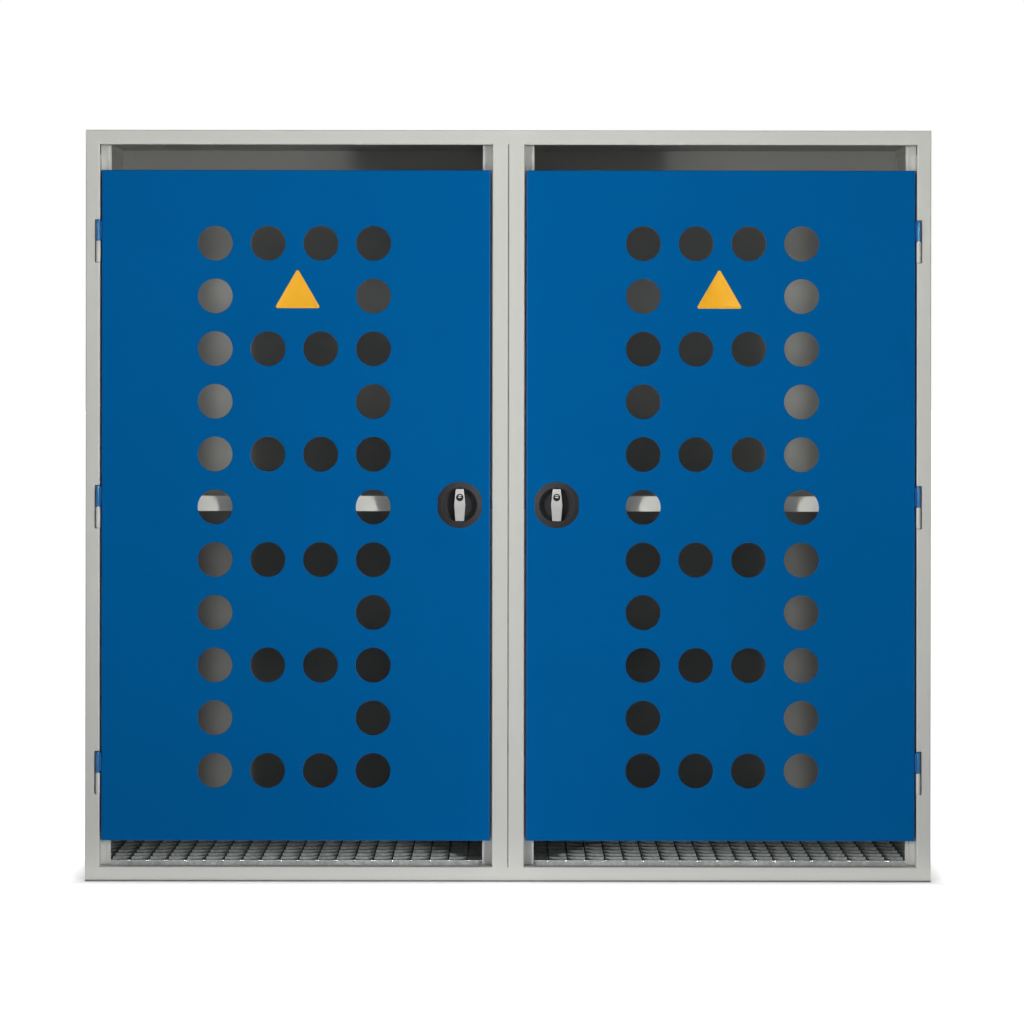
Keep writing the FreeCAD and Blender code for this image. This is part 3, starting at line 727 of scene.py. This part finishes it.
def soften(obj, width, segments=2, angle=40, material=-1):
    """Rounds an object's sharp edges, in a material of their own if one is given; flat faces stay flat."""
    bevel = obj.modifiers.new("soft_edges", "BEVEL")
    bevel.material = material
    bevel.width = width
    bevel.segments = segments
    bevel.limit_method = "ANGLE"
    bevel.angle_limit = math.radians(angle)
    bevel.use_clamp_overlap = False
    normals = obj.modifiers.new("flat_faces", "WEIGHTED_NORMAL")
    normals.keep_sharp = True


# Front frame


def ground_welds(hand, sign):
    """Welds ground flush, which fill the rails' folds where the upright and the centre post meet them."""
    side = cad_high.x
    faces = [(side - UPRIGHT_FACE, side), (SEAM / 2, SEAM / 2 + POST_FACE)]
    joints = [(RAIL_FACE, -FOLD_RADIUS), (cad_high.z - RAIL_FACE, FOLD_RADIUS)]
    bm = bmesh.new()
    for (near, far), (z, step) in product(faces, joints):
        section = [(0, z), (0, z + step), (FOLD_RADIUS, z)]
        ends = (near + GROUND_WELD_INSET, far - GROUND_WELD_INSET)
        lofted(bm, [[(sign * x, FRONT_Y + depth, height) for depth, height in section] for x in ends])
    piece(hand + "_ground_welds", bm, "cabinet", "frame_paint")


def relief_shadow_card(hand, sign):
    """Black card behind the relief slot at the upper end of an upright: painted shadow in the slot."""
    inner = cad_high.x - UPRIGHT_FACE + SHEET + CAVITY_GAP
    top = cad_high.z - RAIL_FACE - CAVITY_GAP
    xs = sorted((sign * inner, sign * (inner + CAVITY_THICK)))
    bm = bmesh.new()
    box(bm, (xs[0], FRONT_Y + CAVITY_FRONT, top - CAVITY_HEIGHT), (xs[1], FRONT_Y + CAVITY_BACK, top))
    piece(hand + "_relief_shadow_card", bm, "cabinet", "frame_paint", material=KEY_AND_SHADOW_BLACK)


# Doors


def hole_places():
    """Centres of a door's ventilation holes, by distance from the middle and height."""
    for row, column in product(range(HOLE_ROWS), range(HOLE_COLUMNS)):
        if row % 2 == 0 or column in (0, HOLE_COLUMNS - 1):
            yield HOLE_FIRST_X + column * HOLE_PITCH, HOLE_FIRST_Z + row * HOLE_PITCH


def drill(bm, radius, x, z):
    """Adds a round cutter that goes through the front sheet of a door."""
    profile = [(0, -SHEET), (radius, -SHEET), (radius, DRILL_DEPTH), (0, DRILL_DEPTH)]
    turned(bm, profile, (x, FRONT_Y, z), INWARD, HOLE_SEGMENTS)


def door_cutters(sign, low, high):
    """Objects that hollow a door out, open its back inside the lip and drill its holes."""
    hollow = bmesh.new()
    inner = Vector((SHEET, SHEET, SHEET))
    box(hollow, low + inner, high - inner)
    window = bmesh.new()
    rim = Vector((DOOR_LIP, 0, DOOR_LIP))
    box(window, low + rim + Vector((0, DOOR_THICK / 2, 0)), high - rim + Vector((0, DOOR_THICK, 0)))
    holes = bmesh.new()
    for x, z in hole_places():
        drill(holes, HOLE_RADIUS, sign * x, z)
    drill(holes, LOCK_HOLE_RADIUS, sign * LOCK_X, LOCK_Z)
    cutters = {"hollow": hollow, "window": window, "holes": holes}
    return [scratch_object(bm, name) for name, bm in cutters.items()]


def door(hand, sign):
    """Door pan with round holes, rounded front edges and a lip all round the back."""
    low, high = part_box(hand + "_door_panel")
    pan = bmesh.new()
    box(pan, low, high)
    front = [e for e in pan.edges if all(abs(v.co.y - low.y) < SHEET / 2 for v in e.verts)]
    bmesh.ops.bevel(pan, geom=front, offset=DOOR_EDGE_RADIUS, segments=DOOR_EDGE_SEGMENTS,
                    profile=ROUND_PROFILE, affect="EDGES")
    mesh = cut(scratch_object(pan, "pan"), door_cutters(sign, low, high))
    obj = piece(hand + "_door_pan", mesh, hand + "_door", "door_paint",
                [hand + "_door_panel"], smooth_angle=30)
    obj.data.materials.append(EDGE_BLUE)
    for face in obj.data.polygons:
        is_turned = EDGE_NORMAL_LEAST < abs(face.normal.x) < EDGE_NORMAL_MOST
        if is_turned and face.normal.y < -EDGE_NORMAL_LEAST:
            face.material_index = SECOND_MATERIAL
    soften(obj, HOLE_EDGE, angle=60, material=SECOND_MATERIAL)


def hinge_half(hand, sign, half, place, body, slot):
    """Round knuckle with eased ends and its welded leaf."""
    node = f"{hand}_{half}_hinge_{place}"
    low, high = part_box(node)
    length = high.z - low.z
    ease = KNUCKLE_ROUND
    profile = [(0, 0)]
    for k in range(KNUCKLE_ROUND_STEPS + 1):
        angle = math.pi / 2 * k / KNUCKLE_ROUND_STEPS
        profile.append((KNUCKLE_RADIUS - ease + ease * math.sin(angle), ease - ease * math.cos(angle)))
    profile += [(radius, length - along) for radius, along in reversed(profile)]
    bm = bmesh.new()
    turned(bm, profile, (sign * HINGE_X, FRONT_Y - HINGE_PROUD, low.z), UP, KNUCKLE_SEGMENTS)
    inner_side, outer_side = sorted((abs(low.x), abs(high.x)))
    near = inner_side if half == "door" else HINGE_X - LEAF_THICK / 2
    far = min(near + LEAF_THICK, outer_side)
    xs = sorted((sign * near, sign * far))
    foot, head = low.z + LEAF_INSET, high.z - LEAF_INSET
    box(bm, (xs[0], FRONT_Y + LEAF_FRONT, foot), (xs[1], FRONT_Y + LEAF_DEPTH, head))
    material = KNUCKLE_BLUE if half == "door" else None
    piece(f"{hand}_{half}_knuckle_{place}", bm, body, slot, [node], material)


# Swivel handles


def dish(hand, sign):
    """Handle dish: flat-sided rim, coned down to its edge, and a bowl that narrows to its floor."""
    centre = Vector((sign * LOCK_X, FRONT_Y, LOCK_Z))
    bm = bmesh.new()
    turned(bm, DISH_PROFILE, centre, INWARD, DISH_SEGMENTS)
    for vert in bm.verts:
        offset = vert.co.x - sign * LOCK_X
        vert.co.x = sign * LOCK_X + max(-DISH_FLAT, min(DISH_FLAT, offset))
    for face in bm.faces:
        middle = face.calc_center_median() - centre
        if middle.y < 0 and math.hypot(middle.x, middle.z) > RIM_INNER:
            face.material_index = SECOND_MATERIAL
    obj = piece(hand + "_handle_dish", bm, hand + "_door", "black_plastic",
                [hand + "_lock_dish"], smooth_angle=28)
    # The rim faces take the moulding with painted light and shade.
    obj.data.materials.append(RIM_PAINTED_LIGHT_BLACK)


def lever_bar(sign):
    """Six-sided bar of a lever, whose front slopes from a crest across its middle to both ends."""
    points = rounded_outline(LEVER_OUTLINE, LEVER_CORNER)
    loops = []
    for depth in (LEVER_BACK, 0.0):
        loops.append([(sign * LOCK_X + p.x, FRONT_Y + depth, LOCK_Z + p.y) for p in points])
    bm = bmesh.new()
    front = lofted(bm, loops)[-1]
    for vert in front:
        share = abs(vert.co.z - LOCK_Z) / LEVER_HALF_LENGTH
        vert.co.y = FRONT_Y + LEVER_CREST_DEPTH + (LEVER_END_DEPTH - LEVER_CREST_DEPTH) * share
    across = [v for v in front if abs(v.co.z - LOCK_Z) < LEVER_CREST_REACH]
    left = min(across, key=lambda v: (round(v.co.x, 6), abs(v.co.z - LOCK_Z)))
    right = max(across, key=lambda v: (round(v.co.x, 6), -abs(v.co.z - LOCK_Z)))
    bmesh.ops.connect_vert_pair(bm, verts=[left, right])
    return bm


def lever(hand, sign):
    """Swivel lever with rounded edges and a bore for the key cylinder."""
    bore = bmesh.new()
    radius = KEY_RADIUS + BORE_PLAY
    profile = [(0, BORE_FRONT), (radius, BORE_FRONT), (radius, BORE_BACK), (0, BORE_BACK)]
    turned(bore, profile, (sign * LOCK_X, FRONT_Y, LOCK_Z + KEY_RISE), INWARD, KEY_SEGMENTS)
    mesh = cut(scratch_object(lever_bar(sign), "lever_bar"), [scratch_object(bore, "key_bore")])
    obj = piece(hand + "_swivel_lever", mesh, hand + "_handle", "lever_metal",
                [hand + "_lever"], smooth_angle=25)
    soften(obj, LEVER_EDGE, segments=3, angle=50)


def key_cylinder(hand, sign):
    """Key cylinder: dark rim and sunk well, with a bright face high in the well."""
    low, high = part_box(hand + "_key_plug")
    front = low.y - FRONT_Y
    back = high.y - FRONT_Y
    centre = Vector((sign * LOCK_X, FRONT_Y, LOCK_Z + KEY_RISE))
    profile = [(radius, front + depth) for radius, depth in KEY_RIM_PROFILE]
    profile += [(KEY_RADIUS, back), (0, back)]
    rim = bmesh.new()
    turned(rim, profile, centre, INWARD, KEY_SEGMENTS)
    piece(hand + "_key_barrel", rim, hand + "_key", "zinc_hardware", [hand + "_key_plug"], KEY_AND_SHADOW_BLACK)
    key_face(hand, centre + Vector((0, 0, KEY_FACE_RISE)), front)


def key_face(hand, middle, front):
    """Domed oval face of a key cylinder, parted by a level key slot."""
    dome = bmesh.new()
    profile = [(radius, front + depth) for radius, depth in KEY_FACE_PROFILE]
    turned(dome, profile, middle, INWARD, KEY_SEGMENTS)
    for vert in dome.verts:
        vert.co.x = middle.x + (vert.co.x - middle.x) * KEY_FACE_STRETCH
    half = Vector((KEY_SLOT_LENGTH / 2, 0, KEY_SLOT_WIDTH / 2))
    near = Vector((0, front - KEY_SLOT_SPARE, 0))
    far = Vector((0, front + KEY_WELL + KEY_SLOT_SPARE, 0))
    slot = bmesh.new()
    box(slot, middle - half + near, middle + half + far)
    mesh = cut(scratch_object(dome, "key_dome"), [scratch_object(slot, "key_slot")])
    piece(hand + "_key_face", mesh, hand + "_key", "zinc_hardware", material=KEY_FACE)


# Floor gratings


def grating(hand):
    """Grating with flush bars: bearing bars in painted shade, cross bars between them and a band all round.
    """
    low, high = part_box(hand + "_floor_grating")
    bar = GRATING_BAR
    front = low.y + WELD_PROUD
    pitch_x = (high.x - low.x - bar) / GRATING_SPACES
    pitch_y = (high.y - front - bar) / GRATING_CROSS_SPACES
    bm = bmesh.new()
    for i in range(GRATING_SPACES + 1):
        x = low.x + i * pitch_x
        for face in box(bm, (x, front, low.z), (x + bar, high.y, high.z)):
            # All but the bearing bars' front ends take the painted shade.
            if face.calc_center_median().y > front + bar:
                face.material_index = SECOND_MATERIAL
        if i == GRATING_SPACES:
            break
        for k in range(GRATING_CROSS_SPACES + 1):
            y = front + k * pitch_y
            is_band = k in (0, GRATING_CROSS_SPACES)
            foot = low.z if is_band else high.z - CROSS_BAR_HEIGHT
            box(bm, (x + bar, y, foot), (x + pitch_x, y + bar, high.z))
    obj = piece(hand + "_grating_bars", bm, "cabinet", "galvanised", [hand + "_floor_grating"])
    obj.data.materials.append(BEARING_BAR_SHADE_ZINC)
    welds(hand, low, high, pitch_x)


def welds(hand, low, high, pitch):
    """Bead along the top of the grating's front band, with a thicker one at each bearing bar."""
    bm = bmesh.new()
    radius = WELD_RADIUS
    for i in range(GRATING_SPACES + 1):
        half = WELD_HALF_LENGTHS[i * WELD_STRIDE % len(WELD_HALF_LENGTHS)]
        middle = min(max(low.x + i * pitch + GRATING_BAR / 2, low.x + half), high.x - half)
        profile = [(thick * radius, along * half) for thick, along in WELD_TAPER]
        profile += [(r, -along) for r, along in reversed(profile)]
        turned(bm, profile, (middle, low.y + radius, high.z - radius), ACROSS, WELD_SEGMENTS)
    radius = SEAM_BEAD_RADIUS
    length = high.x - low.x
    profile = [(0, 0), (radius, 0), (radius, length), (0, length)]
    turned(bm, profile, (low.x, low.y + WELD_PROUD, high.z - radius), ACROSS, WELD_SEGMENTS)
    piece(hand + "_grating_welds", bm, "cabinet", "galvanised", material=WELD_ZINC)


# Door plates


def door_plate(hand, sign):
    """Bare triangular plate on a door, with rounded corners and a raised rim in its own colour."""
    corners = [(-PLATE_HALF_WIDTH, PLATE_FOOT_Z), (PLATE_HALF_WIDTH, PLATE_FOOT_Z), (0, PLATE_APEX_Z)]
    outer = rounded_outline(corners, PLATE_CORNER)
    middle = Vector((0, PLATE_FOOT_Z + (PLATE_APEX_Z - PLATE_FOOT_Z) / 3))
    loops = []
    for share, depth in PLATE_RINGS:
        spots = [middle + (point - middle) * share for point in outer]
        loops.append([(sign * PLATE_X + spot.x, FRONT_Y + depth, spot.y) for spot in spots])
    bm = bmesh.new()
    lofted(bm, loops)
    piece(hand + "_door_plate", bm, hand + "_door", "door_paint", material=AMBER)


# Carried-over CAD nodes


def dress_nodes():
    """Gives every shown CAD node the finish of its slot, and eases the cut edges of the flat sheets."""
    for row in frame["record"]["subparts"]:
        obj = nodes[row["node"]]
        obj.data.materials.clear()
        obj.data.materials.append(MATERIALS[row["material_slot"]])
    for hand in HANDS:
        # Strikes take steel painted as dark as the shade in the door gap.
        nodes[hand + "_strike"].data.materials[0] = STRIKE_PAINTED_SHADE_STEEL
        # Shelves take a paler grey, painted light for the light through the door holes.
        nodes[hand + "_shelf"].data.materials[0] = SHELF_LIT_GREY
    # The carcass sheets take the grey with painted shade inside, below the shelf.
    for name in FLAT_SHEETS + REAR_CORNERS:
        nodes[name].data.materials[0] = INSIDE_SHADED_GREY
    for name in FLAT_SHEETS:
        weld = nodes[name].modifiers.new("joined_faces", "WELD")
        weld.merge_threshold = SHEET_JOIN
        soften(nodes[name], SHEET_EDGE)


# Stage


def seen_or_reflected(tree):
    """Value of 1 for rays from the camera, reflections and glass, and 0 for the rays that light surfaces."""
    path = tree.nodes.new("ShaderNodeLightPath").outputs
    mirrored = calculated(tree, "MAXIMUM", path["Is Glossy Ray"], path["Is Transmission Ray"])
    return calculated(tree, "MAXIMUM", path["Is Camera Ray"], mirrored)


def white_world():
    """White surroundings for the camera and reflections; the fill for everything else is low in front."""
    world = bpy.data.worlds.new("studio")
    bpy.context.scene.world = world
    world.use_nodes = True
    tree = world.node_tree
    background = tree.nodes["Background"]
    background.inputs["Color"].default_value = (*WHITE, 1)
    backward = coordinates(tree, "Generated")["Y"]
    fill = mapped(tree, backward, AMBIENT_START, AMBIENT_END, FRONT_AMBIENT, BACK_AMBIENT)
    level = mapped(tree, seen_or_reflected(tree), 0.0, 1.0, fill, 1.0)
    tree.links.new(level, background.inputs["Strength"])


def clear_of_footprint(tree):
    """How far a point of the floor lies outside the object's footprint, in metres."""
    place = coordinates(tree, "Object")
    gaps = []
    for axis, half in (("X", cad_high.x), ("Y", cad_high.y)):
        gaps.append(calculated(tree, "SUBTRACT", calculated(tree, "ABSOLUTE", place[axis]), half))
    return calculated(tree, "MAXIMUM", *gaps)


def floor_paint():
    """Pale floor paint that glows white to the camera, less so close to the object and not under it."""
    paint = Paint("pale_floor", FLOOR_GREY, FLOOR_ROUGHNESS, specular=FLOOR_SPECULAR)
    paint.shader.inputs["Emission Color"].default_value = (*WHITE, 1)
    tree = paint.tree
    gap = clear_of_footprint(tree)
    glow = mapped(tree, gap, 0.0, FLOOR_GLOW_REACH, FLOOR_GLOW_NEAR, 1.0)
    outside = calculated(tree, "GREATER_THAN", gap, 0.0)
    shown = calculated(tree, "MULTIPLY", outside, seen_or_reflected(tree))
    level = calculated(tree, "MULTIPLY", glow, shown)
    paint.link(level, paint.shader.inputs["Emission Strength"])
    return paint.material


def sheet(name, corners):
    """Flat object through four corners."""
    mesh = bpy.data.meshes.new(name)
    mesh.from_pydata(corners, [], [(0, 1, 2, 3)])
    return placed(name, mesh)


def floor():
    """Pale floor that shows white to the camera and keeps the object's shadow."""
    reach = FLOOR_REACH
    obj = sheet("floor", [(-reach, -reach, 0), (reach, -reach, 0), (reach, reach, 0), (-reach, reach, 0)])
    obj.data.materials.append(floor_paint())


def softbox(name, place, size, power):
    """Rectangular lamp aimed at the doors, above their middle."""
    data = bpy.data.lights.new(name, "AREA")
    data.shape = "RECTANGLE"
    data.size, data.size_y = size
    data.energy = power
    lamp = placed(name, data)
    lamp.location = place
    aim = Vector(AIM) - lamp.location
    lamp.rotation_euler = aim.to_track_quat("-Z", "Y").to_euler()
    lamp.visible_camera = False


def flag(side):
    """Unseen upright card that keeps a side lamp off its own half of the front."""
    x, y, _ = SIDE_LAMP_PLACE
    edge = side * x * (FRONT_Y - FLAG_Y) / (FRONT_Y - y)
    far = edge + side * FLAG_WIDTH
    foot = [(edge, FLAG_Y, 0), (far, FLAG_Y, 0)]
    head = [(far, FLAG_Y, FLAG_HEIGHT), (edge, FLAG_Y, FLAG_HEIGHT)]
    card = sheet("flag", foot + head)
    card.visible_camera = False
    card.visible_diffuse = False
    card.visible_glossy = False
    card.visible_transmission = False


def lamps():
    """Two side softboxes that each light the far half of the front, one overhead and one at the foot."""
    x, y, z = SIDE_LAMP_PLACE
    for side in HANDS.values():
        softbox("side_lamp", (side * x, y, z), SIDE_LAMP_SIZE, SIDE_LAMP_POWER)
        flag(side)
    softbox("top_lamp", TOP_LAMP_PLACE, TOP_LAMP_SIZE, TOP_LAMP_POWER)
    softbox("floor_bounce", BOUNCE_PLACE, BOUNCE_SIZE, BOUNCE_POWER)


def camera():
    """Long lens, level but for a slight roll, with the picture's own framing."""
    width = IMAGE_SIZE * METRES_PER_PIXEL
    middle_x = (IMAGE_SIZE / 2 - SEAM_PIXEL) * METRES_PER_PIXEL
    middle_z = (FLOOR_PIXEL - IMAGE_SIZE / 2) * METRES_PER_PIXEL
    data = bpy.data.cameras.new("camera")
    data.sensor_width = SENSOR_WIDTH
    data.lens = SENSOR_WIDTH * CAMERA_DISTANCE / width
    data.shift_y = -CAMERA_SHIFT
    obj = placed("camera", data)
    place = Matrix.Translation((middle_x, FRONT_Y - CAMERA_DISTANCE, middle_z + CAMERA_SHIFT * width))
    obj.matrix_world = place @ Matrix.Rotation(math.pi / 2, 4, "X") @ Matrix.Rotation(CAMERA_ROLL, 4, "Z")
    bpy.context.scene.camera = obj


dress_nodes()
for hand, sign in HANDS.items():
    ground_welds(hand, sign)
    relief_shadow_card(hand, sign)
    door(hand, sign)
    for place in ("bottom", "middle", "top"):
        hinge_half(hand, sign, "frame", place, "cabinet", "frame_paint")
        hinge_half(hand, sign, "door", place, hand + "_door", "door_paint")
    dish(hand, sign)
    lever(hand, sign)
    key_cylinder(hand, sign)
    grating(hand)
    door_plate(hand, sign)

white_world()
floor()
lamps()
camera()
bpy.context.scene.view_settings.view_transform = "Standard"
